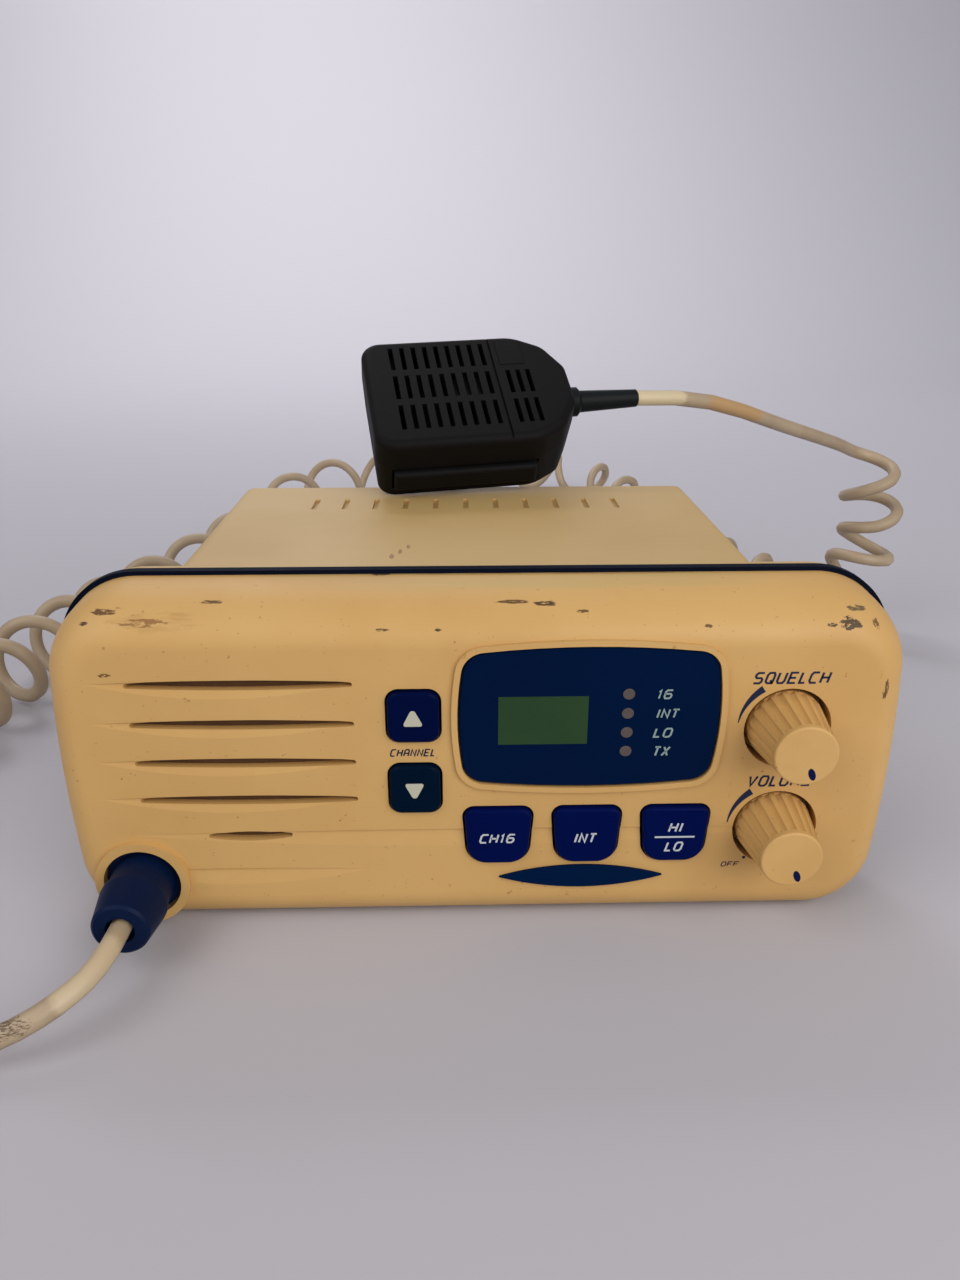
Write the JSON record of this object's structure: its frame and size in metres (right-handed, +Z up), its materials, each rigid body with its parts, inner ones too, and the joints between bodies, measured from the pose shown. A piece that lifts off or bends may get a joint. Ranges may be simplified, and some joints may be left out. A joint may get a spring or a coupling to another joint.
{
  "type": "marine radio",
  "caption": "Fixed-mount marine VHF radio with a louvred speaker, display, keys and rotary knobs, with a fist microphone on a curly cord resting on its case.",
  "frame": {"origin": "on the surface the radio stands on, under the middle of the radio with its microphone, without the cord", "axes": "+X to the right as seen from the front, +Y to the back, +Z up"},
  "size_m": [0.3536, 0.5, 0.1216],
  "materials": {
    "cream_plastic": "satin",
    "case_paint": "satin",
    "navy_rubber": "matte",
    "lens": "gloss",
    "navy_plastic": "satin",
    "blue_key": "satin",
    "channel_key": "satin",
    "badge": "gloss",
    "display": "gloss",
    "indicator": "gloss",
    "inner_plastic": "matte",
    "mat_rubber": "matte",
    "board": "satin",
    "cloth": "matte",
    "speaker_steel": "satin",
    "paper_cone": "matte",
    "steel": "satin",
    "sink_alloy": "satin",
    "module_plastic": "satin",
    "nickel": "satin",
    "brass": "satin",
    "jack_plastic": "satin",
    "mic_plastic": "matte",
    "mic_rubber": "matte",
    "capsule_alloy": "satin",
    "stud_steel": "satin",
    "cord_jacket": "satin"
  },
  "bodies": {
    "radio": {"front_bezel": "cream_plastic", "rear_case": "case_paint", "bezel_gasket": "navy_rubber", "cord_boot": "navy_rubber", "display_lens": "lens", "oval_badge": "badge", "lcd_module": "display", "led_indicators": "indicator", "lcd_holder": "inner_plastic", "squelch_pot": "inner_plastic", "volume_pot": "inner_plastic", "keypad_mat": "mat_rubber", "power_grommet": "mat_rubber", "front_board": "board", "main_board": "board", "speaker_cloth": "cloth", "speaker_frame": "speaker_steel", "speaker_magnet": "speaker_steel", "speaker_cone": "paper_cone", "shield_can": "steel", "board_screws": "steel", "heat_sink_screws": "steel", "housing_screws": "steel", "heat_sink": "sink_alloy", "power_module": "module_plastic", "antenna_socket": "nickel", "antenna_contact": "brass", "bracket_inserts": "brass", "speaker_jack": "jack_plastic", "cord_front_lead": "cord_jacket", "cord_coil": "cord_jacket", "cord_mic_lead": "cord_jacket"},
    "microphone": {"mic_front_shell": "mic_plastic", "mic_rear_shell": "mic_plastic", "mic_panel": "mic_plastic", "ptt_switch": "inner_plastic", "mic_board": "board", "mic_capsule": "capsule_alloy", "capsule_sleeve": "mat_rubber", "mic_screws": "steel", "hang_stud": "stud_steel", "mic_strain_relief": "mic_rubber"},
    "ptt": {"ptt_bar": "mic_plastic"},
    "channel_up": {"channel_up_button": "channel_key"},
    "channel_down": {"channel_down_button": "channel_key"},
    "distress_channel": {"distress_channel_button": "blue_key"},
    "international": {"international_button": "blue_key"},
    "high_low": {"high_low_button": "blue_key"},
    "squelch_control": {"squelch_knob": "cream_plastic", "squelch_pointer": "navy_plastic", "squelch_shaft": "steel"},
    "volume_control": {"volume_knob": "cream_plastic", "volume_pointer": "navy_plastic", "volume_shaft": "steel"}
  },
  "joints": [
    {"name": "microphone_lift", "type": "slide", "parent": "radio", "child": "microphone", "axis": [0, 0, 1], "range_m": [0, 0.1]},
    {"name": "talk_press", "type": "slide", "parent": "microphone", "child": "ptt", "axis": [-0.1545, 0.8338, 0.5299], "range_m": [0, 0.0014], "stiffness_N_per_m": 600, "springref_m": -0.0015},
    {"name": "channel_up_press", "type": "slide", "parent": "radio", "child": "channel_up", "axis": [0, 1, 0], "range_m": [0, 0.0012], "stiffness_N_per_m": 500, "springref_m": -0.001},
    {"name": "channel_down_press", "type": "slide", "parent": "radio", "child": "channel_down", "axis": [0, 1, 0], "range_m": [0, 0.0012], "stiffness_N_per_m": 500, "springref_m": -0.001},
    {"name": "distress_channel_press", "type": "slide", "parent": "radio", "child": "distress_channel", "axis": [0, 1, 0], "range_m": [0, 0.0012], "stiffness_N_per_m": 500, "springref_m": -0.001},
    {"name": "international_press", "type": "slide", "parent": "radio", "child": "international", "axis": [0, 1, 0], "range_m": [0, 0.0012], "stiffness_N_per_m": 500, "springref_m": -0.001},
    {"name": "high_low_press", "type": "slide", "parent": "radio", "child": "high_low", "axis": [0, 1, 0], "range_m": [0, 0.0012], "stiffness_N_per_m": 500, "springref_m": -0.001},
    {"name": "squelch_turn", "type": "hinge", "parent": "radio", "child": "squelch_control", "pos_m": [0.0672, -0.0591, 0.0501], "axis": [0, -1, 0], "range_deg": [-10, 290]},
    {"name": "volume_turn", "type": "hinge", "parent": "radio", "child": "volume_control", "pos_m": [0.0672, -0.0591, 0.0247], "axis": [0, -1, 0], "range_deg": [-10, 290]}
  ]
}
